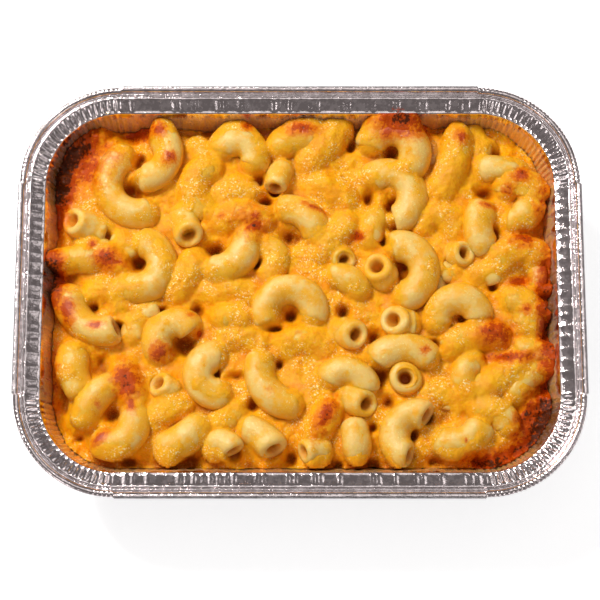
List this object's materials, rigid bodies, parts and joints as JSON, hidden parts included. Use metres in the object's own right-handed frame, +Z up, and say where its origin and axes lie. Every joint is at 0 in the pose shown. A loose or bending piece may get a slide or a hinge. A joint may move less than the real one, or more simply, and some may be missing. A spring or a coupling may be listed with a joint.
{
  "type": "foil tray meal",
  "caption": "Macaroni cheese baked in a rounded rectangular foil tray with a curled bead, a pleated shoulder and a flat foot.",
  "frame": {"origin": "on the resting plane, under the middle of the tray's outline", "axes": "+Z up, +X along the tray's long side, +Y away from the side that faces the diner"},
  "size_m": [0.18, 0.133, 0.038],
  "materials": {
    "foil": "bright pressed foil with fine creases",
    "baked_macaroni": "moist melted cheese over pale pasta, browned on its peaks"
  },
  "bodies": {
    "root": {"foil_tray": "foil", "macaroni_cheese": "baked_macaroni"}
  },
  "joints": []
}
